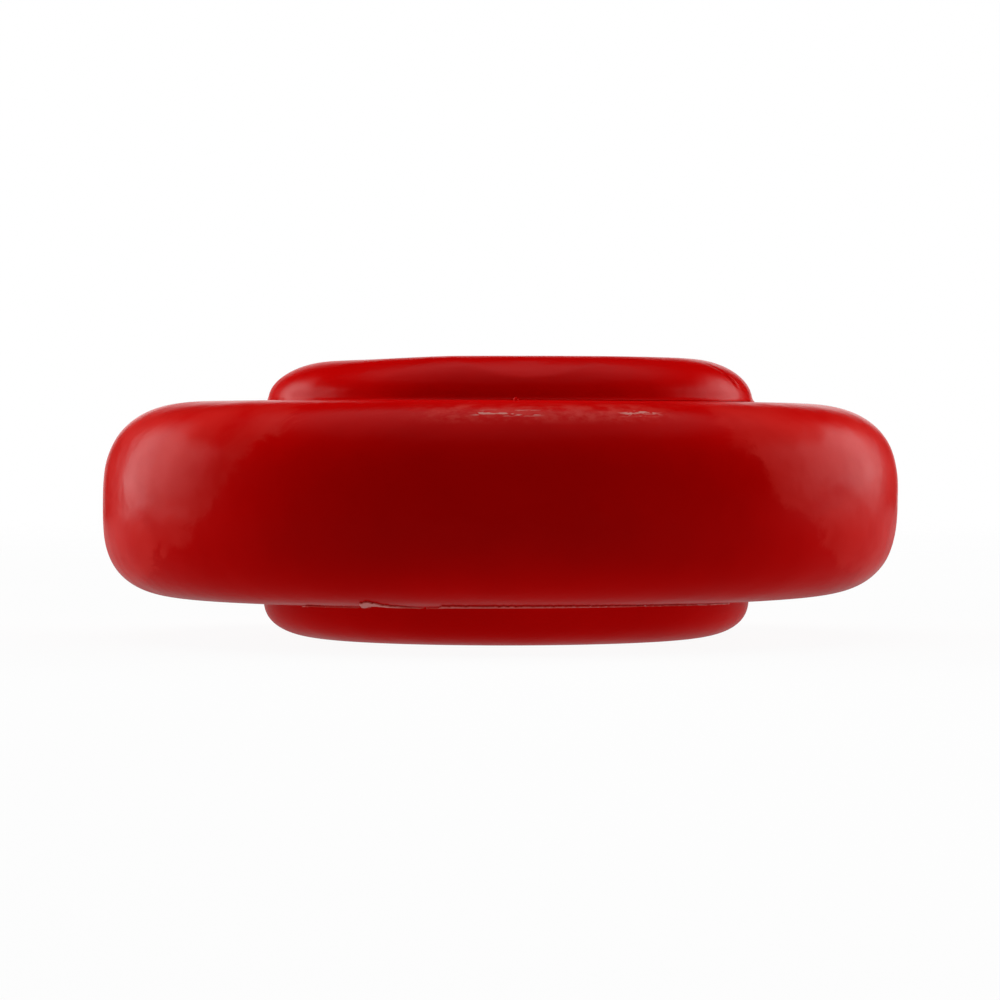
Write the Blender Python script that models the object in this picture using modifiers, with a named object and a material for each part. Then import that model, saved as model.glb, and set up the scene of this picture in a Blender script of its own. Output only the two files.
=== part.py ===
"""A low disc diabolo lying on its lower cup.

A fat soft tyre on a rigid hub turns on two ball bearings between two narrower soft
cups. A bolt through the middle clamps the cups, their washers and the inner races
into one core. Everything is turned about the Z axis, and the lower half mirrors the
upper half except that the bolt's head is below and its nut above.
Run it with: blender --background --python part.py
"""

import math

import bmesh
import bpy

MM = 0.001

# Driving dimensions, in millimetres. Heights are measured from the middle plane.
TYRE_RADIUS = 60.0
TYRE_HALF_WIDTH = 14.6
TREAD_REACH = 16.5  # how far the rounded tread stands out beyond the flat faces
TREAD_POWER = 2.5  # 2 would be an ellipse; more is squarer
TYRE_BORE_RADIUS = 32.6
RIDGE_HEIGHT = 2.3  # the hub's ridge, which locks into a groove in the bore
RIDGE_HALF_WIDTH = 4.0

CUP_RADIUS = 36.6
CUP_RISE = 6.3  # height of a cup above the tyre's face
SHOULDER_REACH = 8.6
SHOULDER_POWER = 2.4
LIP_WIDTH = 2.4  # flat ring that the part stands on
CUP_ROOT_RADIUS = 26.2
CUP_FLOOR_UNDERSIDE = 11.2
CUP_FLOOR_THICKNESS = 2.3
CUP_HOLE_RADIUS = 4.4

HUB_HALF_WIDTH = 12.0
HUB_RIM_THICKNESS = 4.0
HUB_WEB_HALF_THICKNESS = 3.0
HUB_BOSS_RADIUS = 15.0
HUB_BOSS_HALF_WIDTH = 9.0
HUB_SHOULDER_RADIUS = 9.7  # between the bearings' outer races
HUB_SHOULDER_HALF_WIDTH = 1.3
WEB_HOLE_COUNT = 6
WEB_HOLE_RADIUS = 4.0
WEB_HOLE_CIRCLE_RADIUS = 21.6

BEARING_BORE_RADIUS = 4.0  # an 8 x 22 x 7 mm ball bearing
BEARING_OUTER_RADIUS = 11.0
BEARING_HALF_WIDTH = 3.5
BEARING_OFFSET = 5.0  # from the middle plane to the bearing's centre
BALL_COUNT = 7
BALL_RADIUS = 1.984
BALL_CIRCLE_RADIUS = 7.5
BALL_GROOVE_RADIUS = 2.05
INNER_LAND_RADIUS = 6.1
OUTER_LAND_RADIUS = 8.9
SHIELD_RECESS_RADIUS = 9.65
SHIELD_RECESS_DEPTH = 0.8

BOLT_RADIUS = 3.85
BOLT_LENGTH = 35.0  # under the head
HEAD_RADIUS = 7.0
HEAD_HEIGHT = 4.4
SOCKET_WIDTH = 5.0  # across flats
SOCKET_DEPTH = 2.6
NUT_WIDTH = 13.0  # across flats
NUT_HEIGHT = 4.0
WASHER_RADIUS = 12.0
WASHER_THICKNESS = 1.4
SEAT_RADIUS = 12.5
SEAT_NECK_RADIUS = 5.8

GAP = 0.2  # between pieces that are clamped together
RUNNING_GAP = 0.4  # between the tyre's face and a cup's shoulder

TYRE_STEPS = 56
BODY_STEPS = 40
SMALL_STEPS = 24

# Radii and heights that follow from the dimensions above.
LIP_HEIGHT = TYRE_HALF_WIDTH + CUP_RISE
LIP_OUTER_RADIUS = CUP_RADIUS - SHOULDER_REACH
LIP_INNER_RADIUS = LIP_OUTER_RADIUS - LIP_WIDTH
SHOULDER_UNDERSIDE = TYRE_HALF_WIDTH + RUNNING_GAP
HUB_RADIUS = TYRE_BORE_RADIUS - 0.3
CUP_FLOOR_TOP = CUP_FLOOR_UNDERSIDE + CUP_FLOOR_THICKNESS
WASHER_UNDERSIDE = CUP_FLOOR_TOP + GAP
CLAMP_HEIGHT = WASHER_UNDERSIDE + WASHER_THICKNESS + GAP  # where the nut and head bear


def collection(name):
    made = bpy.data.collections.new(name)
    bpy.context.scene.collection.children.link(made)
    return made


def material(name, colour, roughness, metallic=0.0):
    made = bpy.data.materials.new(name)
    made.use_nodes = True
    shader = made.node_tree.nodes["Principled BSDF"]
    shader.inputs["Base Color"].default_value = (*colour, 1.0)
    shader.inputs["Roughness"].default_value = roughness
    shader.inputs["Metallic"].default_value = metallic
    return made


def axis_empty(name, height, home):
    """A frame on the Z axis for the pieces that turn together."""
    made = bpy.data.objects.new(name, None)
    made.empty_display_size = 10 * MM
    made.location.z = height * MM
    home.objects.link(made)
    return made


def reflected(points):
    """The points mirrored in the middle plane, in reverse order."""
    return [(r, -z) for r, z in reversed(points)]


def arc(radius, height, reach, rise, power, count, last=0.0):
    """Points round a corner, from the top of its arc (90 degrees) towards its side (0)."""
    points = []
    for i in range(count):
        angle = math.radians(90.0 + (last - 90.0) * i / (count - 1))
        out = max(math.cos(angle), 0.0) ** (2 / power)
        up = math.sin(angle) ** (2 / power)
        points.append((radius + reach * out, height + rise * up))
    return points


def ball_groove(side, land_radius):
    """Points across a race's groove, top to bottom; side is -1 inside, +1 outside."""
    depth = land_radius - BALL_CIRCLE_RADIUS
    edge = math.sqrt(BALL_GROOVE_RADIUS**2 - depth**2)
    points = []
    for i in range(5):
        z = edge * (1 - i / 2)
        r = BALL_CIRCLE_RADIUS + side * math.sqrt(BALL_GROOVE_RADIUS**2 - z**2)
        points.append((r, z))
    return points


def tyre_profile():
    """A rounded tread, two flat faces and a bore with a groove for the hub's ridge."""
    core_radius = TYRE_RADIUS - TREAD_REACH
    tread = arc(core_radius, 0.0, TREAD_REACH, TYRE_HALF_WIDTH, TREAD_POWER, count=9)
    chamfer = 0.6
    groove_radius = TYRE_BORE_RADIUS + RIDGE_HEIGHT
    groove_edge = RIDGE_HALF_WIDTH + 0.3
    bore = [
        (groove_radius, groove_edge),
        (TYRE_BORE_RADIUS, groove_edge),
        (TYRE_BORE_RADIUS, TYRE_HALF_WIDTH - chamfer),
        (TYRE_BORE_RADIUS + chamfer, TYRE_HALF_WIDTH),
    ]
    return tread + reflected(tread[:-1]) + reflected(bore) + bore


def hub_profile():
    """A rim with a locking ridge, a thin web and a boss that holds the bearings."""
    seat_radius = BEARING_OUTER_RADIUS + 0.15
    rim_inside = HUB_RADIUS - HUB_RIM_THICKNESS
    outside = [
        (HUB_RADIUS, HUB_HALF_WIDTH),
        (HUB_RADIUS, RIDGE_HALF_WIDTH),
        (HUB_RADIUS + RIDGE_HEIGHT, RIDGE_HALF_WIDTH),
    ]
    inside = [
        (HUB_SHOULDER_RADIUS, HUB_SHOULDER_HALF_WIDTH),
        (seat_radius, HUB_SHOULDER_HALF_WIDTH),
        (seat_radius, HUB_BOSS_HALF_WIDTH),
        (HUB_BOSS_RADIUS, HUB_BOSS_HALF_WIDTH),
        (HUB_BOSS_RADIUS, HUB_WEB_HALF_THICKNESS),
        (rim_inside, HUB_WEB_HALF_THICKNESS),
        (rim_inside, HUB_HALF_WIDTH),
    ]
    return outside + reflected(outside) + reflected(inside) + inside


def cup_profile():
    """A domed shoulder over the tyre, a flat lip, and a well with a clamped floor."""
    shoulder = arc(
        LIP_OUTER_RADIUS,
        TYRE_HALF_WIDTH,
        SHOULDER_REACH,
        CUP_RISE,
        SHOULDER_POWER,
        count=8,
        last=6.0,
    )
    underside = [
        (CUP_RADIUS - 0.4, SHOULDER_UNDERSIDE),
        (CUP_ROOT_RADIUS, SHOULDER_UNDERSIDE),
        (CUP_ROOT_RADIUS, CUP_FLOOR_UNDERSIDE + 2.0),
        (CUP_ROOT_RADIUS - 2.0, CUP_FLOOR_UNDERSIDE),
        (CUP_HOLE_RADIUS, CUP_FLOOR_UNDERSIDE),
    ]
    well = [
        (CUP_HOLE_RADIUS, CUP_FLOOR_TOP),
        (LIP_INNER_RADIUS - 4.0, CUP_FLOOR_TOP),
        (LIP_INNER_RADIUS - 2.3, CUP_FLOOR_TOP + 0.6),
        (LIP_INNER_RADIUS - 1.7, CUP_FLOOR_TOP + 2.2),
        (LIP_INNER_RADIUS - 1.1, LIP_HEIGHT - 1.2),
        (LIP_INNER_RADIUS - 0.7, LIP_HEIGHT - 0.4),
        (LIP_INNER_RADIUS, LIP_HEIGHT),
    ]
    return shoulder + underside + well


def seat_profile():
    """The stepped washer under a cup; its neck bears on the inner race only."""
    neck_end = BEARING_OFFSET + BEARING_HALF_WIDTH + GAP
    flange_underside = neck_end + 0.9
    flange_top = CUP_FLOOR_UNDERSIDE - GAP
    bore = BEARING_BORE_RADIUS + 0.2
    return [
        (SEAT_RADIUS, flange_top),
        (SEAT_RADIUS, flange_underside),
        (SEAT_NECK_RADIUS, flange_underside),
        (SEAT_NECK_RADIUS, neck_end),
        (bore, neck_end),
        (bore, flange_top),
    ]


def bolt_profile():
    """A button head above a plain shank with a chamfered end."""
    end = CLAMP_HEIGHT - BOLT_LENGTH
    chamfer = 0.7
    flank = 3.4
    head = arc(HEAD_RADIUS - flank, CLAMP_HEIGHT, flank, HEAD_HEIGHT, 2.0, count=5)
    return [
        (0.0, CLAMP_HEIGHT + HEAD_HEIGHT),
        *head,
        (BOLT_RADIUS, CLAMP_HEIGHT),
        (BOLT_RADIUS, end + chamfer),
        (BOLT_RADIUS - chamfer, end),
        (0.0, end),
    ]


def nut_blank_profile():
    """The ring whose coned faces chamfer the nut's corners."""
    top = CLAMP_HEIGHT + NUT_HEIGHT
    face_radius = NUT_WIDTH / 2 - 0.2
    beyond_corners = NUT_WIDTH / math.sqrt(3) + 0.3
    bore = BOLT_RADIUS + GAP
    chamfer = 0.6
    return [
        (face_radius, top),
        (beyond_corners, top - chamfer),
        (beyond_corners, CLAMP_HEIGHT + chamfer),
        (face_radius, CLAMP_HEIGHT),
        (bore, CLAMP_HEIGHT),
        (bore, top),
    ]


def inner_race_profile():
    return [
        (INNER_LAND_RADIUS, BEARING_HALF_WIDTH),
        *ball_groove(-1, INNER_LAND_RADIUS),
        (INNER_LAND_RADIUS, -BEARING_HALF_WIDTH),
        (BEARING_BORE_RADIUS, -BEARING_HALF_WIDTH),
        (BEARING_BORE_RADIUS, BEARING_HALF_WIDTH),
    ]


def outer_race_profile():
    """The outer race, with a recess at each end for a shield."""
    land_edge = BEARING_HALF_WIDTH - SHIELD_RECESS_DEPTH
    recess = [
        (SHIELD_RECESS_RADIUS, BEARING_HALF_WIDTH),
        (SHIELD_RECESS_RADIUS, land_edge),
        (OUTER_LAND_RADIUS, land_edge),
    ]
    inside = [*recess, *ball_groove(+1, OUTER_LAND_RADIUS), *reflected(recess)]
    return [
        (BEARING_OUTER_RADIUS, BEARING_HALF_WIDTH),
        (BEARING_OUTER_RADIUS, -BEARING_HALF_WIDTH),
        *reversed(inside),
    ]


def linked(name, mesh):
    obj = bpy.data.objects.new(name, mesh)
    bpy.context.scene.collection.objects.link(obj)
    return obj


def turned(name, profile, steps):
    """A solid of revolution about Z; a profile that starts on the axis is left open."""
    points = [(r * MM, 0.0, z * MM) for r, z in profile]
    edges = [(i, i + 1) for i in range(len(points) - 1)]
    if profile[0][0] > 0.0:
        edges.append((len(points) - 1, 0))
    mesh = bpy.data.meshes.new(name)
    mesh.from_pydata(points, edges, [])
    obj = linked(name, mesh)
    screw = obj.modifiers.new("turn", "SCREW")
    screw.axis = "Z"
    screw.angle = math.tau
    screw.steps = steps
    screw.render_steps = steps
    screw.use_merge_vertices = True
    screw.merge_threshold = 0.00001
    screw.use_smooth_shade = True
    return obj


def ring(name, inner, outer, bottom, top, steps):
    """A plain washer, spacer, shield or cage blank."""
    profile = [(outer, top), (outer, bottom), (inner, bottom), (inner, top)]
    return turned(name, profile, steps)


def prism(name, sides, radius, bottom, top):
    """An upright bar with the given number of sides."""
    shape = bmesh.new()
    bmesh.ops.create_cone(
        shape,
        cap_ends=True,
        segments=sides,
        radius1=radius * MM,
        radius2=radius * MM,
        depth=(top - bottom) * MM,
    )
    bmesh.ops.translate(shape, verts=shape.verts, vec=(0, 0, (top + bottom) / 2 * MM))
    mesh = bpy.data.meshes.new(name)
    shape.to_mesh(mesh)
    shape.free()
    return linked(name, mesh)


def ball_mesh(name, radius):
    shape = bmesh.new()
    bmesh.ops.create_uvsphere(shape, u_segments=10, v_segments=7, radius=radius * MM)
    mesh = bpy.data.meshes.new(name)
    shape.to_mesh(mesh)
    shape.free()
    mesh.shade_smooth()
    return mesh


def put(obj, home, parent, flipped=False):
    """Moves an object into its collection and hangs it on its axis."""
    for old in list(obj.users_collection):
        old.objects.unlink(obj)
    home.objects.link(obj)
    obj.parent = parent
    if flipped:
        obj.rotation_euler.x = math.pi


def piece(obj, look, home, parent, flipped=False):
    put(obj, home, parent, flipped)
    if not obj.data.materials:
        obj.data.materials.append(look)


def cutter(obj, home, parent):
    put(obj, home, parent)
    obj.hide_render = True
    obj.display_type = "WIRE"


def cut(obj, tool, operation="DIFFERENCE"):
    boolean = obj.modifiers.new(tool.name, "BOOLEAN")
    boolean.operation = operation
    boolean.object = tool
    boolean.solver = "EXACT"


def place_on_circle(obj, radius, angle):
    obj.location.x = radius * MM * math.cos(angle)
    obj.location.y = radius * MM * math.sin(angle)
    obj.rotation_euler.z = angle


def make_wheel(wheel, looks, home, cutters):
    """The soft tyre and the hub inside it."""
    piece(turned("tyre", tyre_profile(), TYRE_STEPS), looks["red"], home, wheel)
    hub = turned("wheel_hub", hub_profile(), BODY_STEPS)
    piece(hub, looks["nylon"], home, wheel)
    reach = 2 * HUB_WEB_HALF_THICKNESS
    for number in range(WEB_HOLE_COUNT):
        hole = prism(f"web_hole_cutter_{number + 1}", 12, WEB_HOLE_RADIUS, -reach, reach)
        angle = math.tau * (number + 0.5) / WEB_HOLE_COUNT
        place_on_circle(hole, WEB_HOLE_CIRCLE_RADIUS, angle)
        cutter(hole, cutters, wheel)
        cut(hub, hole)


def make_core_side(side, flipped, core, looks, home):
    """One cup with the washer on its floor and the stepped seat under it."""
    cup = turned(f"{side}_cup", cup_profile(), BODY_STEPS)
    piece(cup, looks["red"], home, core, flipped)
    seat = turned(f"{side}_cup_seat", seat_profile(), SMALL_STEPS)
    piece(seat, looks["zinc"], home, core, flipped)
    washer = ring(
        f"{side}_washer",
        BOLT_RADIUS + 0.5,
        WASHER_RADIUS,
        WASHER_UNDERSIDE,
        WASHER_UNDERSIDE + WASHER_THICKNESS,
        SMALL_STEPS,
    )
    piece(washer, looks["zinc"], home, core, flipped)


def make_fasteners(core, looks, home, cutters):
    """The spacer between the bearings, the bolt with its head below, and the nut."""
    half = BEARING_OFFSET - BEARING_HALF_WIDTH - 0.15
    spacer = ring("race_spacer", 4.1, 5.9, -half, half, SMALL_STEPS)
    piece(spacer, looks["zinc"], home, core)

    bolt = turned("axle_bolt", bolt_profile(), SMALL_STEPS)
    piece(bolt, looks["zinc"], home, core, flipped=True)
    head_end = -CLAMP_HEIGHT - HEAD_HEIGHT
    corner = SOCKET_WIDTH / math.sqrt(3)
    socket = prism("socket_cutter", 6, corner, head_end - 1.0, head_end + SOCKET_DEPTH)
    cutter(socket, cutters, core)
    cut(bolt, socket)

    corner = NUT_WIDTH / math.sqrt(3)
    nut = prism("axle_nut", 6, corner, CLAMP_HEIGHT, CLAMP_HEIGHT + NUT_HEIGHT)
    piece(nut, looks["zinc"], home, core)
    blank = turned("nut_blank_cutter", nut_blank_profile(), SMALL_STEPS)
    cutter(blank, cutters, core)
    cut(nut, blank, "INTERSECT")


def make_shields(side, flipped, wheel_end, looks, home):
    """The two thin rings that close a bearing, one in each end of its outer race."""
    near, far = BEARING_HALF_WIDTH - 0.6, BEARING_HALF_WIDTH - 0.15
    inner, outer = INNER_LAND_RADIUS + 0.25, SHIELD_RECESS_RADIUS - 0.2
    for place, low, high in (("outside", near, far), ("inside", -far, -near)):
        name = f"{side}_{place}_shield"
        shield = ring(name, inner, outer, low, high, SMALL_STEPS)
        piece(shield, looks["steel"], home, wheel_end, flipped)


def make_balls(side, flipped, turning, looks, home, cutters, meshes):
    """The cage and its balls, which go round together inside one bearing."""
    cage = ring(f"{side}_cage", 6.75, 8.25, -1.2, 2.6, 28)
    piece(cage, looks["cage"], home, turning, flipped)
    for number in range(1, BALL_COUNT + 1):
        angle = math.tau * number / BALL_COUNT
        pocket = linked(f"{side}_pocket_cutter_{number}", meshes["pocket"])
        place_on_circle(pocket, BALL_CIRCLE_RADIUS, angle)
        cutter(pocket, cutters, turning)
        cut(cage, pocket)
        ball = linked(f"{side}_ball_{number}", meshes["ball"])
        place_on_circle(ball, BALL_CIRCLE_RADIUS, angle)
        piece(ball, looks["steel"], home, turning)


def make_bearing(side, flipped, looks, home, cutters, meshes):
    """One shielded bearing: the inner race stands still and the outer race turns."""
    centre = LIP_HEIGHT + (-BEARING_OFFSET if flipped else BEARING_OFFSET)
    core_end = axis_empty(f"{side}_inner_race_axis", centre, home)
    wheel_end = axis_empty(f"{side}_outer_race_axis", centre, home)
    turning = axis_empty(f"{side}_cage_axis", centre, home)
    inner = turned(f"{side}_inner_race", inner_race_profile(), SMALL_STEPS)
    piece(inner, looks["steel"], home, core_end)
    outer = turned(f"{side}_outer_race", outer_race_profile(), SMALL_STEPS)
    piece(outer, looks["steel"], home, wheel_end)
    make_shields(side, flipped, wheel_end, looks, home)
    make_balls(side, flipped, turning, looks, home, cutters, meshes)


def make_diabolo():
    looks = {
        "red": material("soft_red_vinyl", (0.55, 0.008, 0.010), 0.22),
        "nylon": material("black_nylon", (0.02, 0.02, 0.022), 0.5),
        "zinc": material("zinc_plated_steel", (0.62, 0.63, 0.65), 0.3, 1.0),
        "steel": material("bearing_steel", (0.72, 0.72, 0.74), 0.15, 1.0),
        "cage": material("natural_nylon", (0.75, 0.72, 0.62), 0.45),
    }
    meshes = {
        "ball": ball_mesh("ball", BALL_RADIUS),
        "pocket": ball_mesh("pocket", BALL_RADIUS + 0.12),
    }
    home = collection("diabolo")
    cutters = collection("cutters")
    core = axis_empty("core_axis", LIP_HEIGHT, home)
    wheel = axis_empty("wheel_axis", LIP_HEIGHT, home)
    make_wheel(wheel, looks, home, cutters)
    make_fasteners(core, looks, home, cutters)
    for side, flipped in (("upper", False), ("lower", True)):
        make_core_side(side, flipped, core, looks, home)
        make_bearing(side, flipped, looks, home, cutters, meshes)


for leftover in list(bpy.data.objects):
    bpy.data.objects.remove(leftover)
make_diabolo()
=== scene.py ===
"""The looks of a low red disc diabolo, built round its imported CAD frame."""

import math

import bmesh
import bpy
import numpy as np
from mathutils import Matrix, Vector, noise

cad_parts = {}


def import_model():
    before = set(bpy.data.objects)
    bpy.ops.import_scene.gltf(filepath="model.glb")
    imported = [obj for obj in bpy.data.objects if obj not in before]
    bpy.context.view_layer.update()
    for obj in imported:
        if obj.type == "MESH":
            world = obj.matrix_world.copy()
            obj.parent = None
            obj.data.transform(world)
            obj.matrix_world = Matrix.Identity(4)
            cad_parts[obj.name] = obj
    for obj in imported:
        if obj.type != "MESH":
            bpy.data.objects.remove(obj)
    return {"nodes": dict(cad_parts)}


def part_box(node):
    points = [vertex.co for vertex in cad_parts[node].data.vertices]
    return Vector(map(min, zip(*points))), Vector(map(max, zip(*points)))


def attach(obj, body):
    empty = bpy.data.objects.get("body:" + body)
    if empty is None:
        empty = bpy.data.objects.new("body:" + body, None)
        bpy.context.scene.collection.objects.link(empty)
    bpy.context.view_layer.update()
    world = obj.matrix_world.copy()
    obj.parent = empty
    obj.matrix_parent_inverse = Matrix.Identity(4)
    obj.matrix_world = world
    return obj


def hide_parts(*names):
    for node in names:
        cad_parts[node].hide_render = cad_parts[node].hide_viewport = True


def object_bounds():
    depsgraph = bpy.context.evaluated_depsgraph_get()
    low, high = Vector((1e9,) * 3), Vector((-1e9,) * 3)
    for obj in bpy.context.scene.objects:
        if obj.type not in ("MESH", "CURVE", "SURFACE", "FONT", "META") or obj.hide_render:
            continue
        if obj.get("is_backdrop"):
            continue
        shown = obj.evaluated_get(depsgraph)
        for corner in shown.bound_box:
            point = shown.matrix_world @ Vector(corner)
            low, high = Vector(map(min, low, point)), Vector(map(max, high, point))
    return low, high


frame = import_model()
CAD_LOW, CAD_HIGH = (Vector(corner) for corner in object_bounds())

MM = 0.001
MID = (CAD_LOW.z + CAD_HIGH.z) / 2
TYRE_LOW, TYRE_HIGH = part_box("tyre")
_, HUB_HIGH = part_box("wheel_hub")
CUP_LOW, CUP_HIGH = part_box("upper_cup")
WASHER_LOW, WASHER_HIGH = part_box("upper_washer")
NUT_LOW, NUT_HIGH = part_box("axle_nut")
BOLT_LOW, BOLT_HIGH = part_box("axle_bolt")

TYRE_RADIUS = TYRE_HIGH.x
TYRE_HALF = (TYRE_HIGH.z - TYRE_LOW.z) / 2
TREAD_REACH = 16.5 * MM
TREAD_CORE = TYRE_RADIUS - TREAD_REACH
TREAD_POWER = 2.7
LOWER_TREAD_POWER = 3.0
BORE_RADIUS = 32.6 * MM
RIDGE_RADIUS = HUB_HIGH.x + 0.3 * MM
RIDGE_HALF_WIDTH = 4.3 * MM

CUP_RADIUS = CUP_HIGH.x + 0.15 * MM
CUP_TOP = CUP_HIGH.z - MID
CUP_UNDERSIDE = CUP_LOW.z - MID
# how far a shoulder reaches inwards, and how square its corner is
UPPER_SHOULDER = (10.0 * MM, 2.0)
LOWER_SHOULDER = (11.2 * MM, 2.6)
LIP_WIDTH = 1.1 * MM
CUP_FLOOR_TOP = WASHER_LOW.z - MID - 0.2 * MM
CUP_BORE = 4.4 * MM
CUP_ROOT = 26.2 * MM

TYRE_SEGMENTS = 560
CUP_SEGMENTS = 440
FASTENER_SEGMENTS = 144
WASHER_SEGMENTS = 160
TYRE_EDGE_LENGTH = 0.8 * MM
CUP_EDGE_LENGTH = 0.6 * MM

# ---------------------------------------------------------------- geometry helpers


def superellipse(centre, reach, rise, power, count, last=0.0):
    """Points of a rounded corner from its top (90 degrees) to its side (last)."""
    points = []
    for i in range(count):
        angle = math.radians(90.0 + (last - 90.0) * i / (count - 1))
        out = max(math.cos(angle), 0.0) ** (2 / power)
        up = math.sin(angle) ** (2 / power)
        points.append((centre[0] + reach * out, centre[1] + rise * up))
    return points


def stretch(points, longest):
    """The same outline with long edges split, so that none is longer than asked."""
    result = []
    for (r0, z0), (r1, z1) in zip(points, points[1:] + points[:1]):
        pieces = max(1, math.ceil(math.hypot(r1 - r0, z1 - z0) / longest))
        for k in range(pieces):
            t = k / pieces
            result.append((r0 + (r1 - r0) * t, z0 + (z1 - z0) * t))
    return result


def link(name, data):
    """A new object that holds the data, in the scene."""
    obj = bpy.data.objects.new(name, data)
    bpy.context.scene.collection.objects.link(obj)
    return obj


def mesh_object(name, verts, faces):
    mesh = bpy.data.meshes.new(name)
    mesh.from_pydata([tuple(v) for v in verts], [], faces)
    mesh.update()
    return link(name, mesh)


def placed(r, z, azimuth):
    """The point at a radius, a height from the object's middle and an azimuth."""
    return (r * math.cos(azimuth), r * math.sin(azimuth), z + MID)


def lathe(name, profile, segments, shape=None, sharp=40.0):
    """A closed outline turned about the Z axis through the object's middle height.

    shape(radius, height, azimuth) returns a changed (radius, height, azimuth).
    """
    count = len(profile)
    verts = []
    for j in range(segments):
        azimuth = math.tau * j / segments
        for r, z in profile:
            point = (r, z, azimuth) if shape is None else shape(r, z, azimuth)
            verts.append(placed(*point))
    faces = []
    for j in range(segments):
        here, there = j * count, (j + 1) % segments * count
        for i in range(count):
            k = (i + 1) % count
            faces.append((here + i, here + k, there + k, there + i))
    obj = mesh_object(name, verts, faces)
    shade(obj, sharp)
    return obj


def shade(obj, sharp):
    """Smooth shading, with edges steeper than sharp degrees left crisp."""
    obj.data.shade_smooth()
    obj.data.set_sharp_from_angle(angle=math.radians(sharp))


def smooth_step(low, high, value):
    t = min(max((value - low) / (high - low), 0.0), 1.0)
    return t * t * (3.0 - 2.0 * t)


def bell(value, centre, width):
    return math.exp(-(((value - centre) / width) ** 2))


def turn_between(azimuth, centre):
    """The signed angle from centre to azimuth, between -pi and pi."""
    return (azimuth - centre + math.pi) % math.tau - math.pi


def lumps(x, y, z, size, seed):
    """Gentle hand-made unevenness, from -1 to 1, on the scale of size."""
    return noise.noise(Vector((x / size + seed, y / size - seed, z / size)))


# ---------------------------------------------------------------- the soft tyre

# azimuths of marks are counted from the front, which faces the camera
FRONT = -90.0
TAPER = 0.014
LEAN = 0.35 * MM
WOBBLE = 0.16 * MM
RIPPLE = 0.05 * MM
BLISTER_AZIMUTH = math.radians(FRONT + 13.3)
BLISTER_HEIGHT = -1.1 * MM
BLISTER_RISE = 0.16 * MM
PIP_AZIMUTH = math.radians(FRONT + 2.8)
PIP_RADIUS = 46.5 * MM
PIP_SIZE = 0.36 * MM


def tyre_outline():
    """The ring's section: an oval tread, flat faces and a groove for the hub's ridge."""
    core = (TREAD_CORE, 0.0)
    tread = superellipse(core, TREAD_REACH, TYRE_HALF, TREAD_POWER, 40)
    soft = 0.9 * MM
    face = [
        (RIDGE_RADIUS, RIDGE_HALF_WIDTH),
        (BORE_RADIUS, RIDGE_HALF_WIDTH),
        (BORE_RADIUS, TYRE_HALF - soft),
        (BORE_RADIUS + soft * 0.3, TYRE_HALF - soft * 0.3),
        (BORE_RADIUS + soft, TYRE_HALF),
    ]
    below = superellipse(core, TREAD_REACH, TYRE_HALF, LOWER_TREAD_POWER, 40)
    lower_tread = [(r, -z) for r, z in reversed(below[:-1])]
    lower_face = [(r, -z) for r, z in reversed(face)]
    outline = tread + lower_tread + lower_face + face
    return stretch(outline, TYRE_EDGE_LENGTH)


def tyre_shape(r, z, azimuth):
    """The moulding's small departures from a perfectly turned ring."""
    x, y = r * math.cos(azimuth), r * math.sin(azimuth)
    outer = smooth_step(BORE_RADIUS + 2 * MM, TYRE_RADIUS - 6 * MM, r)
    # one side of the ring is a little thicker than the other, clear of the cups
    clear = smooth_step(CUP_RADIUS + 2 * MM, CUP_RADIUS + 6 * MM, r)
    z *= 1.0 - TAPER * x / TYRE_RADIUS * clear
    # the tread leans slightly: fuller above on the right and below on the left
    lean = LEAN * (x / TYRE_RADIUS) * (z / TYRE_HALF) * outer
    wobble = WOBBLE * lumps(x, y, z * 1.5, 22 * MM, 3.1) * outer
    ripple = RIPPLE * lumps(x, y, z * 2.0, 7 * MM, 11.7) * outer
    off = turn_between(azimuth, BLISTER_AZIMUTH) * TYRE_RADIUS
    blister = BLISTER_RISE * bell(off, 0.0, 1.1 * MM)
    blister *= bell(z, BLISTER_HEIGHT, 1.2 * MM)
    blister *= smooth_step(TYRE_RADIUS - 8 * MM, TYRE_RADIUS - 3 * MM, r)
    return r + lean + wobble + ripple + blister, z, azimuth


# ---------------------------------------------------------------- the soft cups


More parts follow.
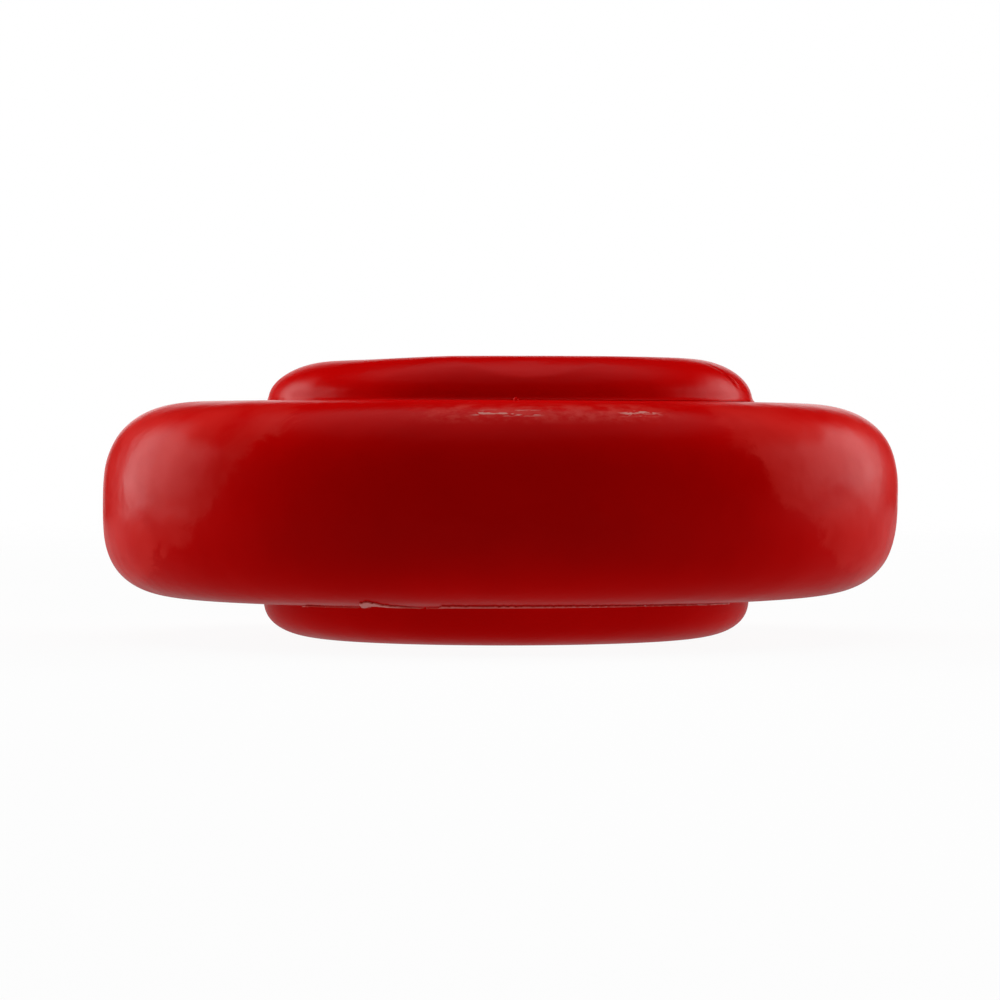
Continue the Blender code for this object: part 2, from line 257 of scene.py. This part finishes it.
def cup_outline(top, reach, power):
    """The section of a cup: shoulder, clamped underside, floor, well and lip."""
    lip_outer = CUP_RADIUS - reach
    lip_inner = lip_outer - LIP_WIDTH
    rise = top - TYRE_HALF
    centre = (lip_outer, TYRE_HALF)
    shoulder = superellipse(centre, reach, rise, power, 30, last=7.5)
    shoulder_underside = TYRE_HALF + 0.06 * MM
    # the foot of the shoulder flares out a little where it meets the tyre
    underside = [
        (CUP_RADIUS, TYRE_HALF + 0.60 * MM),
        (CUP_RADIUS + 0.12 * MM, TYRE_HALF + 0.34 * MM),
        (CUP_RADIUS + 0.34 * MM, TYRE_HALF + 0.12 * MM),
        (CUP_RADIUS + 0.32 * MM, shoulder_underside),
        (CUP_ROOT, shoulder_underside),
        (CUP_ROOT, CUP_UNDERSIDE + 2.0 * MM),
        (CUP_ROOT - 0.6 * MM, CUP_UNDERSIDE + 0.6 * MM),
        (CUP_ROOT - 2.0 * MM, CUP_UNDERSIDE),
        (CUP_BORE, CUP_UNDERSIDE),
    ]
    well = [(CUP_BORE, CUP_FLOOR_TOP)]
    well.append((lip_inner - 4.4 * MM, CUP_FLOOR_TOP))
    # a rounded corner between the floor and the wall, and then the rounded lip
    corner = 2.4 * MM
    for i in range(7):
        angle = math.radians(-90.0 + 84.0 * i / 6)
        r = lip_inner - 4.1 * MM + corner * math.cos(angle)
        z = CUP_FLOOR_TOP + corner * (1.0 + math.sin(angle))
        well.append((r, z))
    for i in range(8):
        angle = math.radians(172.0 - 82.0 * i / 7)
        r = lip_inner + 1.1 * MM * math.cos(angle)
        z = top - 1.2 * MM + 1.2 * MM * math.sin(angle)
        well.append((r, z))
    return stretch(shoulder + underside + well, CUP_EDGE_LENGTH)


# the two ends of the nick, each an azimuth and a height, and the radius it lies at
NICK_START = (math.radians(FRONT + 67.0), 19.8 * MM)
NICK_END = (math.radians(FRONT + 68.5), 17.4 * MM)
NICK_RADIUS = 34 * MM
NICK_DEPTH = 0.60 * MM
NICK_WIDTH = 0.36 * MM

FACET_RADIUS = 25.7 * MM
FACET_MIDDLE = 4.1 * MM
FACET_HALF_WIDTH = 10.6 * MM
FACET_HEIGHT = 3.0 * MM
FACET_SLOPE = 0.40
FACET_DEEPEST = 0.8 * MM


def nick(r, z, azimuth):
    """How deep an oblique cut in the right shoulder of the upper cup is here."""
    if r < 24 * MM or z < TYRE_HALF + 1 * MM:
        return 0.0
    across = (NICK_END[0] - NICK_START[0]) * NICK_RADIUS
    along = across, NICK_END[1] - NICK_START[1]
    here = turn_between(azimuth, NICK_START[0]) * NICK_RADIUS, z - NICK_START[1]
    length = math.hypot(*along)
    t = min(max((here[0] * along[0] + here[1] * along[1]) / length**2, 0.0), 1.0)
    away = math.hypot(here[0] - along[0] * t, here[1] - along[1] * t)
    return NICK_DEPTH * bell(away, 0.0, NICK_WIDTH)


def facet(r, z, x, y):
    """A shallow lens-shaped flat under the lip at the front of the upper cup."""
    if r < FACET_RADIUS or y > 0:
        return 0.0
    across = (x - FACET_MIDDLE) / FACET_HALF_WIDTH
    border = CUP_TOP - FACET_HEIGHT * (1.0 - across * across)
    cut = min(FACET_SLOPE * max(z - border, 0.0), FACET_DEEPEST)
    return cut * smooth_step(FACET_RADIUS, 27.4 * MM, r)


def cup_shape(offset, seed, dip, marked):
    """A cup whose soft shoulder sits a little off centre on its clamped floor.

    dip is how much lower the lip is on the left; marked adds the nick and the flat.
    """

    def shape(r, z, azimuth):
        soft = smooth_step(14 * MM, 27 * MM, r)
        outer = smooth_step(CUP_RADIUS - 6 * MM, CUP_RADIUS, r)
        x, y = r * math.cos(azimuth), r * math.sin(azimuth)
        uneven = 0.14 * MM * lumps(x, y, z, 15 * MM, seed) * soft
        uneven += 0.04 * MM * lumps(x, y, z, 5 * MM, seed + 4.0) * outer
        x += offset * soft + uneven * math.cos(azimuth)
        y += uneven * math.sin(azimuth)
        if marked:
            cut = nick(r, z, azimuth) + facet(r, z, x, y)
            x -= cut * math.cos(azimuth)
            y -= cut * math.sin(azimuth)
        high = smooth_step(TYRE_HALF + 1 * MM, CUP_TOP, z)
        z -= dip * high * smooth_step(5 * MM, 22 * MM, -x)
        return math.hypot(x, y), z, math.atan2(y, x)

    return shape


def flip(obj):
    """Turns a piece over about the X axis through the object's middle height."""
    for vertex in obj.data.vertices:
        vertex.co.y = -vertex.co.y
        vertex.co.z = 2 * MID - vertex.co.z
    obj.data.update()


# ---------------------------------------------------------------- materials


def node_tree(name):
    made = bpy.data.materials.new(name)
    made.use_nodes = True
    tree = made.node_tree
    return made, tree, tree.nodes["Principled BSDF"]


def add(tree, kind, **inputs):
    """A new node with some of its sockets set."""
    made = tree.nodes.new(kind)
    for key, value in inputs.items():
        made.inputs[key.replace("_", " ")].default_value = value
    return made


def ramp(tree, factor, stops):
    """A soft ramp; a stop is a place and a colour, or a place and one grey level."""
    made = tree.nodes.new("ShaderNodeValToRGB")
    made.color_ramp.interpolation = "EASE"
    elements = made.color_ramp.elements
    while len(elements) < len(stops):
        elements.new(0.5)
    for element, (position, colour) in zip(elements, stops):
        element.position = position
        red_green_blue = colour if len(colour) == 3 else colour * 3
        element.color = (*red_green_blue, 1.0)
    tree.links.new(factor, made.inputs["Fac"])
    return made.outputs["Color"]


def object_noise(tree, scale, detail, rough, stretch_by=(1.0, 1.0, 1.0), distortion=0.0):
    coords = tree.nodes.new("ShaderNodeTexCoord")
    mapping = tree.nodes.new("ShaderNodeMapping")
    mapping.inputs["Scale"].default_value = stretch_by
    tree.links.new(coords.outputs["Object"], mapping.inputs["Vector"])
    made = add(tree, "ShaderNodeTexNoise", Scale=scale, Detail=detail, Roughness=rough)
    made.inputs["Distortion"].default_value = distortion
    tree.links.new(mapping.outputs["Vector"], made.inputs["Vector"])
    return made.outputs["Fac"]


def math_node(tree, operation, first, second):
    made = tree.nodes.new("ShaderNodeMath")
    made.operation = operation
    for socket, value in zip(made.inputs, (first, second)):
        if isinstance(value, (int, float)):
            socket.default_value = value
        else:
            tree.links.new(value, socket)
    return made.outputs["Value"]


def between(tree, value, low, high):
    """0 below low, 1 above high and a smooth rise between them; low may exceed high."""
    made = tree.nodes.new("ShaderNodeMapRange")
    made.interpolation_type = "SMOOTHSTEP"
    made.inputs["From Min"].default_value = min(low, high)
    made.inputs["From Max"].default_value = max(low, high)
    made.inputs["To Min"].default_value = 0.0 if low < high else 1.0
    made.inputs["To Max"].default_value = 1.0 if low < high else 0.0
    tree.links.new(value, made.inputs["Value"])
    return made.outputs["Result"]


def bump(tree, height, strength, distance, normal=None):
    made = add(tree, "ShaderNodeBump", Strength=strength, Distance=distance)
    tree.links.new(height, made.inputs["Height"])
    if normal is not None:
        tree.links.new(normal, made.inputs["Normal"])
    return made.outputs["Normal"]


# a painted sheen: paler, cloudy patches where the side light reflects at the tyre's two ends
SHEEN_START = 40.7 * MM
SHEEN_SLANT = 0.9
SHEEN_TINT = (0.90, 0.020, 0.016)
# paler tints that paint the overhead light's highlight band and its glints near the tyre's
# top edge
HIGHLIGHT_BAND_TINT = (0.88, 0.040, 0.032)
GLINT_TINT = (0.93, 0.34, 0.30)
# where each cluster of painted glints starts and ends along X, in mm
GLINT_SPANS = ((-3.5, 5.5), (17.0, 22.0))
DEEP_RED = (0.76, 0.0006, 0.0005)
BRIGHT_RED = (0.84, 0.0010, 0.0008)


def painted_end_sheen(tree, colour):
    """Painted sheen: cloudy, slightly paler patches with ragged edges at the tyre's two ends,
    where the side light reflects.
    """
    coords = tree.nodes.new("ShaderNodeTexCoord")
    split = tree.nodes.new("ShaderNodeSeparateXYZ")
    tree.links.new(coords.outputs["Object"], split.inputs["Vector"])
    reach = math_node(tree, "ABSOLUTE", split.outputs["X"], 0.0)
    climb = math_node(tree, "MULTIPLY", split.outputs["Z"], SHEEN_SLANT)
    reach = math_node(tree, "ADD", reach, climb)
    ragged = object_noise(tree, 110.0, 5.0, 0.62, (1.0, 1.0, 1.6), 0.6)
    reach = math_node(tree, "ADD", reach, math_node(tree, "MULTIPLY", ragged, 14.0 * MM))
    edge = SHEEN_START + SHEEN_SLANT * MID + 7.0 * MM
    mask = between(tree, reach, edge - 0.6 * MM, edge + 1.8 * MM)
    flat = tree.nodes.new("ShaderNodeVectorMath")
    flat.operation = "MULTIPLY"
    flat.inputs[1].default_value = (1.0, 1.0, 0.0)
    tree.links.new(coords.outputs["Object"], flat.inputs[0])
    radius = tree.nodes.new("ShaderNodeVectorMath")
    radius.operation = "LENGTH"
    tree.links.new(flat.outputs["Vector"], radius.inputs[0])
    # only on the tread, and only on the front half
    limits = ((radius.outputs["Value"], 48, 55), (split.outputs["Y"], 30, 0))
    mask = within(tree, mask, limits)
    cloud = object_noise(tree, 90.0, 3.0, 0.55, (1.0, 1.0, 1.5), 0.3)
    mask = math_node(tree, "MULTIPLY", mask, between(tree, cloud, 0.15, 0.70))
    return tint(tree, mask, colour, SHEEN_TINT)


def painted_top_highlights(tree, colour):
    """A mottled painted highlight band and painted glints, as bright specks, just below the
    tyre's upper edge, at the front.
    """
    coords = tree.nodes.new("ShaderNodeTexCoord")
    split = tree.nodes.new("ShaderNodeSeparateXYZ")
    tree.links.new(coords.outputs["Object"], split.inputs["Vector"])
    x, y, z = (split.outputs[axis] for axis in "XYZ")
    highlight_mottle = object_noise(tree, 700.0, 3.0, 0.6, (0.6, 0.6, 1.0))
    highlight_mottle = between(tree, highlight_mottle, 0.35, 0.70)
    limits = ((x, -15, -6), (x, 28, 16), (y, -30, -34), (z, 31.8, 33.0), (z, 35.1, 34.4))
    highlight_band = within(tree, highlight_mottle, limits)
    colour = tint(tree, highlight_band, colour, HIGHLIGHT_BAND_TINT)
    for start, end in GLINT_SPANS:
        fine = object_noise(tree, 1000.0, 3.0, 0.7, (0.25, 0.25, 2.2))
        glints = between(tree, fine, 0.53, 0.58)
        limits = ((x, start - 1, start + 1), (x, end + 1, end - 1), (y, -30, -34))
        limits += ((z, 33.0, 33.4), (z, 34.15, 33.75))
        glints = within(tree, glints, limits)
        colour = tint(tree, glints, colour, GLINT_TINT)
    return colour


def within(tree, value, limits):
    """The value faded out beyond limits, each (socket, 0 at this mm, 1 at this mm)."""
    for socket, outside, inside in limits:
        part = between(tree, socket, outside * MM, inside * MM)
        value = math_node(tree, "MULTIPLY", value, part)
    return value


def tint(tree, factor, colour, other):
    """The colour mixed towards another by a factor."""
    mix = tree.nodes.new("ShaderNodeMix")
    mix.data_type = "RGBA"
    # sockets 6 and 7 are the two colours going in, and 2 is the colour coming out
    tree.links.new(factor, mix.inputs["Factor"])
    tree.links.new(colour, mix.inputs[6])
    mix.inputs[7].default_value = (*other, 1.0)
    return mix.outputs[2]


def red_vinyl(name, with_painted_light=False):
    """Soft glossy vinyl; for the tyre it adds the painted sheen at its ends and the painted
    highlights near its top.
    """
    made, tree, shader = node_tree(name)
    cloud = object_noise(tree, 38.0, 3.0, 0.55)
    colour = ramp(tree, cloud, [(0.3, DEEP_RED), (0.7, BRIGHT_RED)])
    if with_painted_light:
        # painted sheen at the tyre's ends and painted highlights near its top edge
        colour = painted_top_highlights(tree, painted_end_sheen(tree, colour))
    tree.links.new(colour, shader.inputs["Base Color"])
    smear = object_noise(tree, 60.0, 2.0, 0.5, (1.0, 1.0, 2.2))
    rough = ramp(tree, smear, [(0.35, (0.20,)), (0.65, (0.27,))])
    tree.links.new(rough, shader.inputs["Roughness"])
    shader.inputs["IOR"].default_value = 1.45
    shader.inputs["Specular IOR Level"].default_value = 0.023
    wave = object_noise(tree, 120.0, 3.0, 0.55)
    grain = object_noise(tree, 900.0, 3.0, 0.6)
    normal = bump(tree, wave, 0.35, 0.0006)
    normal = bump(tree, grain, 0.10, 0.0001, normal)
    tree.links.new(normal, shader.inputs["Normal"])
    return made


def steel(name, colour, roughness):
    made, tree, shader = node_tree(name)
    patch = object_noise(tree, 500.0, 3.0, 0.6)
    low = tuple(c * 0.95 for c in colour)
    colour = ramp(tree, patch, [(0.35, low), (0.65, colour)])
    tree.links.new(colour, shader.inputs["Base Color"])
    shader.inputs["Metallic"].default_value = 1.0
    marks = object_noise(tree, 1400.0, 3.0, 0.6, (1.0, 1.0, 8.0))
    rough = ramp(tree, marks, [(0.3, (roughness * 0.92,)), (0.7, (roughness * 1.1,))])
    tree.links.new(rough, shader.inputs["Roughness"])
    tree.links.new(bump(tree, marks, 0.06, 0.00002), shader.inputs["Normal"])
    return made


def nylon(name, colour, roughness):
    made, tree, shader = node_tree(name)
    patch = object_noise(tree, 120.0, 2.0, 0.5)
    low = tuple(c * 0.8 for c in colour)
    colour = ramp(tree, patch, [(0.3, low), (0.7, colour)])
    tree.links.new(colour, shader.inputs["Base Color"])
    grain = object_noise(tree, 1500.0, 2.0, 0.6)
    rough = ramp(tree, grain, [(0.3, (roughness * 0.85,)), (0.7, (roughness * 1.15,))])
    tree.links.new(rough, shader.inputs["Roughness"])
    tree.links.new(bump(tree, grain, 0.2, 0.00008), shader.inputs["Normal"])
    return made


RED = red_vinyl("soft_red_vinyl")
TYRE_RED = red_vinyl("soft_red_vinyl_painted_sheen", with_painted_light=True)
# the flash colours are paler than the vinyl: a painted highlight where the flakes and the
# lower rim catch the light
FLAKE_HIGHLIGHT_RED = nylon("flash_painted_highlight", (0.95, 0.19, 0.16), 0.4)
RIM_HIGHLIGHT_RED = nylon("rim_flash_painted_highlight", (0.92, 0.075, 0.06), 0.4)
ZINC = steel("zinc_plated_steel", (0.62, 0.63, 0.65), 0.36)
BEARING = steel("bearing_steel", (0.72, 0.72, 0.74), 0.15)
BLACK = nylon("black_nylon", (0.02, 0.02, 0.022), 0.5)
NATURAL = nylon("natural_nylon", (0.75, 0.72, 0.62), 0.45)


def dress(obj, material, body, replaced=()):
    """Gives a piece its look and its body, and hides the CAD nodes it stands for."""
    obj.data.materials.clear()
    obj.data.materials.append(material)
    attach(obj, body)
    if replaced:
        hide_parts(*replaced)


# ---------------------------------------------------------------- the pieces

tyre = lathe("tyre_skin", tyre_outline(), TYRE_SEGMENTS, tyre_shape)
dress(tyre, TYRE_RED, "wheel", ["tyre"])

upper_outline = cup_outline(CUP_TOP + 0.3 * MM, *UPPER_SHOULDER)
upper_shape = cup_shape(offset=1.5 * MM, seed=5.3, dip=0.4 * MM, marked=True)
upper_cup = lathe("upper_cup_skin", upper_outline, CUP_SEGMENTS, upper_shape)
dress(upper_cup, RED, "cups", ["upper_cup"])

lower_outline = cup_outline(CUP_TOP, *LOWER_SHOULDER)
lower_shape = cup_shape(offset=0.9 * MM, seed=8.9, dip=0.0, marked=False)
lower_cup = lathe("lower_cup_skin", lower_outline, CUP_SEGMENTS, lower_shape)
flip(lower_cup)
dress(lower_cup, RED, "cups", ["lower_cup"])


FLAKE_ROWS = 8
FLAKE_THICKNESS = 0.10 * MM
# the tread's underside is out of the camera's sight up to this share of its reach
HIDDEN_SHARE = 0.13
FLAKE_WIDEST = 0.16


def flake(name, start, end, heights, look):
    """A thin skin of torn moulding flash lying on the tread's lower edge.

    start and end are azimuths in degrees. heights lists (place along it from 0 to 1,
    height above the lower edge in mm).
    """
    count = max(16, round(math.radians(end - start) * 48 * MM / (0.25 * MM)))
    rows = FLAKE_ROWS
    power = LOWER_TREAD_POWER
    places, tops = zip(*heights)
    sheets = []
    for lift in (FLAKE_THICKNESS, 0.0):
        for j in range(count + 1):
            t = j / count
            azimuth = math.radians(start + (end - start) * t)
            height = float(np.interp(t, places, tops)) * MM
            ragged = noise.noise(Vector((start, t * count * 0.45, 0.0)))
            height *= 1.0 + 0.35 * ragged
            level = 1.0 - max(height, 0.02 * MM) / TYRE_HALF
            highest = (1.0 - level**power) ** (1.0 / power)
            lowest = max(min(HIDDEN_SHARE, highest * 0.8), highest - FLAKE_WIDEST)
            for i in range(rows + 1):
                u = lowest + (highest - lowest) * i / rows
                v = (1.0 - u**power) ** (1.0 / power)
                outwards = u ** (power - 1) / TREAD_REACH
                downwards = v ** (power - 1) / TYRE_HALF
                away = Vector((outwards, downwards))
                away.normalize()
                # the upper edge curls away from the tread
                off = lift + 0.05 * MM + lift * 0.8 * (i / rows) ** 3
                r = TREAD_CORE + TREAD_REACH * u + away.x * off
                z = -TYRE_HALF * v - away.y * off
                sheets.append(placed(*tyre_shape(r, z, azimuth)))
    size, wide = (count + 1) * (rows + 1), rows + 1
    faces = []
    for j in range(count):
        for i in range(rows):
            a, b = j * wide + i, (j + 1) * wide + i
            faces.append((a, a + 1, b + 1, b))
            faces.append((size + a, size + b, size + b + 1, size + a + 1))
        for i in (0, rows):
            a, b = j * wide + i, (j + 1) * wide + i
            faces.append((a, b, size + b, size + a))
    for j in (0, count):
        for i in range(rows):
            a = j * wide + i
            faces.append((a, a + 1, size + a + 1, size + a))
    obj = mesh_object(name, sheets, faces)
    tidy_normals(obj)
    shade(obj, 50.0)
    dress(obj, look, "wheel")


def tidy_normals(obj):
    """Merges doubled points, drops empty faces and turns all faces outwards."""
    bm = bmesh.new()
    bm.from_mesh(obj.data)
    bmesh.ops.remove_doubles(bm, verts=bm.verts, dist=1e-7)
    bmesh.ops.dissolve_degenerate(bm, edges=bm.edges, dist=1e-7)
    bmesh.ops.recalc_face_normals(bm, faces=bm.faces)
    bm.to_mesh(obj.data)
    bm.free()


SLIVER = [(0.0, 0.02), (0.3, 0.22), (1.0, 0.04)]
HUMP = [(0.0, 0.1), (0.10, 0.5), (0.18, 1.0), (0.40, 0.95), (0.5, 0.6), (0.75, 0.3)]
HUMP.append((1.0, 0.1))
EDGE = [(0.0, 0.02), (0.01, 0.07), (0.045, 0.09), (0.065, 0.46), (0.4, 0.38)]
EDGE.append((1.0, 0.02))
# the pale strip along the lower rim and the flakes carry a painted highlight in their paler
# colours
flake("flash_flake_1", -113.5, -103.5, HUMP, FLAKE_HIGHLIGHT_RED)
flake("flash_edge", -103.0, -44.0, EDGE, RIM_HIGHLIGHT_RED)
flake("flash_flake_2", -127.0, -115.5, SLIVER, RIM_HIGHLIGHT_RED)


def bead(name, azimuth, radius, height, size, columns=24, rows=16):
    """A tiny round pip left on the tyre by its mould."""
    middle = Vector(placed(radius, height, azimuth))
    verts = [middle + Vector((0.0, 0.0, size))]
    for i in range(1, rows):
        down = math.pi * i / rows
        for j in range(columns):
            turn = math.tau * j / columns
            out = size * math.sin(down)
            level = size * math.cos(down)
            verts.append(middle + Vector((out * math.cos(turn), out * math.sin(turn), level)))
    verts.append(middle - Vector((0.0, 0.0, size)))
    bottom = len(verts) - 1
    faces = []
    for j in range(columns):
        k = (j + 1) % columns
        faces.append((0, 1 + j, 1 + k))
        for i in range(rows - 2):
            here, below = 1 + i * columns, 1 + (i + 1) * columns
            faces.append((here + j, below + j, below + k, here + k))
        last = bottom - columns
        faces.append((last + k, last + j, bottom))
    obj = mesh_object(name, verts, faces)
    obj.data.shade_smooth()
    dress(obj, RED, "wheel")


bead("mould_pip", PIP_AZIMUTH, PIP_RADIUS, TYRE_HALF, PIP_SIZE)

# ---------------------------------------------------------------- the fasteners


NUT_CROWN = 0.475
NUT_CHAMFER = math.radians(28.0)
NUT_BORE = 4.05 * MM
SHANK_RADIUS = 3.85 * MM
HEAD_RADIUS = 7.0 * MM
HEAD_HEIGHT = 4.4 * MM
SOCKET_FLATS = 5.0 * MM
SOCKET_DEPTH = 2.6 * MM
THREAD_TURNS = 6
THREAD_PITCH = 1.25 * MM
WASHER_BORE = 4.35 * MM


def hex_radius(flats, azimuth):
    """How far a hexagon reaches at an azimuth; its flats face along X."""
    away = (azimuth + math.radians(30.0)) % math.radians(60.0) - math.radians(30.0)
    return flats / 2 / math.cos(away)


def nut_shape(low, high, flats):
    """Turns the outer points of a round blank into chamfered flats."""
    crown = NUT_CROWN * flats

    def shape(r, z, azimuth):
        if r > crown:
            reach = hex_radius(flats, azimuth)
            drop = math.tan(NUT_CHAMFER) * (reach - crown)
            share = (r - crown) / (flats - crown)
            edge = high - drop if z > (low + high) / 2 else low + drop
            return reach, edge + (z - edge) * (1.0 - min(share, 1.0)), azimuth
        return r, z, azimuth

    return shape


def nut():
    low, high = NUT_LOW.z - MID, NUT_HIGH.z - MID
    flats = NUT_HIGH.x - NUT_LOW.x
    crown = NUT_CROWN * flats
    outline = [
        (NUT_BORE, high - 0.5 * MM),
        (NUT_BORE + 0.45 * MM, high),
        (crown, high),
        (flats, high),
        (flats, low),
        (crown, low),
        (NUT_BORE + 0.45 * MM, low),
        (NUT_BORE, low + 0.5 * MM),
    ]
    shape = nut_shape(low, high, flats)
    obj = lathe("axle_nut_skin", outline, FASTENER_SEGMENTS, shape, 25.0)
    dress(obj, ZINC, "cups", ["axle_nut"])


def bolt():
    low, high = BOLT_LOW.z - MID, BOLT_HIGH.z - MID
    shank, head, under = SHANK_RADIUS, HEAD_RADIUS, low + HEAD_HEIGHT
    socket = SOCKET_FLATS
    outline = [(0.0, high), (shank - 0.75 * MM, high)]
    outline.append((shank - 0.1 * MM, high - 0.5 * MM))
    # below the chamfer, close rings stand for the turns of the thread
    z = high - 0.5 * MM
    for _ in range(THREAD_TURNS):
        outline += [(shank, z - 0.30 * MM), (shank - 0.45 * MM, z - 0.75 * MM)]
        z -= THREAD_PITCH
        outline.append((shank, z))
    outline += [(shank, under), (head, under), (head, under - 0.5 * MM)]
    for i in range(1, 9):
        angle = math.radians(90.0 * i / 8)
        r = 4.6 * MM + (head - 4.6 * MM) * math.cos(angle)
        outline.append((r, under - 0.5 * MM - 3.9 * MM * math.sin(angle)))
    outline += [(3.6 * MM, low), (socket, low + 0.35 * MM)]
    outline += [(socket, low + SOCKET_DEPTH), (0.0, low + SOCKET_DEPTH)]

    def shape(r, z, azimuth):
        if z < under - 1.0 * MM and r == socket and z > low:
            return hex_radius(socket, azimuth), z, azimuth
        return r, z, azimuth

    obj = lathe("axle_bolt_skin", outline, FASTENER_SEGMENTS, shape, 30.0)
    tidy_normals(obj)
    dress(obj, ZINC, "cups", ["axle_bolt"])


def washer(name, node):
    low, high = (corner.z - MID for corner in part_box(node))
    rim = WASHER_HIGH.x
    soft = 0.22 * MM
    outline = [
        (WASHER_BORE, high),
        (rim - soft, high),
        (rim - soft * 0.3, high - soft * 0.3),
        (rim, high - soft),
        (rim, low + soft),
        (rim - soft, low),
        (WASHER_BORE, low),
    ]
    obj = lathe(name, outline, WASHER_SEGMENTS, None, 30.0)
    dress(obj, ZINC, "cups", [node])


nut()
bolt()
washer("upper_washer_skin", "upper_washer")
washer("lower_washer_skin", "lower_washer")

# the looks of the CAD nodes that stay, by a word in the node's name
NODE_LOOKS = {
    "hub": BLACK,
    "cage": NATURAL,
    "race_spacer": ZINC,
    "race": BEARING,
    "ball": BEARING,
    "shield": BEARING,
}
for node, obj in frame["nodes"].items():
    look = next((m for key, m in NODE_LOOKS.items() if key in node), ZINC)
    for index in range(len(obj.material_slots)):
        obj.material_slots[index].material = look

# ---------------------------------------------------------------- the studio

CAMERA_DISTANCE = 0.63
EYE_ABOVE_MIDDLE = 9.0 * MM
AIM_BELOW_MIDDLE = 0.15 * MM
SENSOR_WIDTH = 36.0
IMAGE_PIXELS = 1000.0
OBJECT_HALF_PIXELS = 397.5
FLOOR_RADIUS = 1.0
BACK_GLOW = 1.2
TOP_GLOW = 1.35
SIDE_GLOW = 5.2
FLOOR_GLOW = 0.36
# what the camera sees of the floor beyond the glow that lights the object
FLOOR_SEEN = 0.58


def floor():
    """A pale round floor that fades out before its edge."""
    bm = bmesh.new()
    bmesh.ops.create_circle(bm, cap_ends=True, segments=96, radius=FLOOR_RADIUS)
    mesh = bpy.data.meshes.new("floor")
    bm.to_mesh(mesh)
    bm.free()
    obj = link("floor", mesh)
    made, tree, shader = node_tree("pale_floor")
    patch = object_noise(tree, 3.0, 2.0, 0.5)
    colour = ramp(tree, patch, [(0.3, (0.05, 0.05, 0.05)), (0.7, (0.06, 0.06, 0.06))])
    tree.links.new(colour, shader.inputs["Base Color"])
    shader.inputs["Roughness"].default_value = 0.9
    shader.inputs["Specular IOR Level"].default_value = 0.0
    shader.inputs["Emission Color"].default_value = (1.0, 1.0, 1.0, 1.0)
    rays = tree.nodes.new("ShaderNodeLightPath")
    seen = math_node(tree, "MULTIPLY", rays.outputs["Is Camera Ray"], FLOOR_SEEN)
    seen = math_node(tree, "ADD", seen, FLOOR_GLOW)
    tree.links.new(seen, shader.inputs["Emission Strength"])
    coords = tree.nodes.new("ShaderNodeTexCoord")
    length = tree.nodes.new("ShaderNodeVectorMath")
    length.operation = "LENGTH"
    tree.links.new(coords.outputs["Object"], length.inputs[0])
    stops = [(0.35, (1.0,)), (0.95 * FLOOR_RADIUS, (0.0,))]
    fade = ramp(tree, length.outputs["Value"], stops)
    tree.links.new(fade, shader.inputs["Alpha"])
    obj.data.materials.append(made)
    obj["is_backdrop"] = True


def world():
    """Soft walls of light at both sides, glows behind and above, and a dark front.

    The camera itself sees a plain white backdrop.
    """
    made = bpy.data.worlds.new("studio")
    bpy.context.scene.world = made
    made.use_nodes = True
    tree = made.node_tree
    background = tree.nodes["Background"]
    background.inputs["Color"].default_value = (1.0, 1.0, 1.0, 1.0)
    coords = tree.nodes.new("ShaderNodeTexCoord")
    split = tree.nodes.new("ShaderNodeSeparateXYZ")
    tree.links.new(coords.outputs["Generated"], split.inputs["Vector"])
    x, y, z = (split.outputs[axis] for axis in "XYZ")
    width = math_node(tree, "ABSOLUTE", x, 0.0)
    sides = between(tree, width, 0.3, 0.6)
    limits = ((y, 0.02, 0.20), (y, 0.83, 0.68), (z, -0.06, 0.04), (z, 0.58, 0.42))
    for value, low, high in limits:
        sides = math_node(tree, "MULTIPLY", sides, between(tree, value, low, high))
    sides = math_node(tree, "MULTIPLY", sides, SIDE_GLOW)
    back = math_node(tree, "MULTIPLY", between(tree, y, 0.955, 0.985), BACK_GLOW)
    overhead = math_node(tree, "MULTIPLY", z, 0.99)
    overhead = math_node(tree, "ADD", overhead, math_node(tree, "MULTIPLY", y, 0.14))
    above = math_node(tree, "MULTIPLY", between(tree, overhead, 0.74, 0.90), TOP_GLOW)
    total = math_node(tree, "ADD", sides, back)
    total = math_node(tree, "ADD", total, above)
    tree.links.new(total, background.inputs["Strength"])
    backdrop = add(tree, "ShaderNodeBackground", Color=(1.0, 1.0, 1.0, 1.0), Strength=1.0)
    rays = tree.nodes.new("ShaderNodeLightPath")
    mix = tree.nodes.new("ShaderNodeMixShader")
    tree.links.new(rays.outputs["Is Camera Ray"], mix.inputs["Fac"])
    tree.links.new(background.outputs["Background"], mix.inputs[1])
    tree.links.new(backdrop.outputs["Background"], mix.inputs[2])
    tree.links.new(mix.outputs["Shader"], tree.nodes["World Output"].inputs["Surface"])


def camera():
    """A nearly level view in which the tyre is as wide as in the photograph."""
    widths = CAMERA_DISTANCE / TYRE_RADIUS
    focal_pixels = OBJECT_HALF_PIXELS * math.sqrt(widths**2 - 1.0)
    data = bpy.data.cameras.new("camera")
    data.sensor_width = SENSOR_WIDTH
    data.lens = focal_pixels / IMAGE_PIXELS * data.sensor_width
    obj = link("camera", data)
    obj.location = (0.0, -CAMERA_DISTANCE, MID + EYE_ABOVE_MIDDLE)
    target = Vector((0.0, 0.0, MID - AIM_BELOW_MIDDLE))
    gaze = target - obj.location
    obj.rotation_euler = gaze.to_track_quat("-Z", "Y").to_euler()
    bpy.context.scene.camera = obj


floor()
world()
camera()
bpy.context.scene.view_settings.view_transform = "Standard"
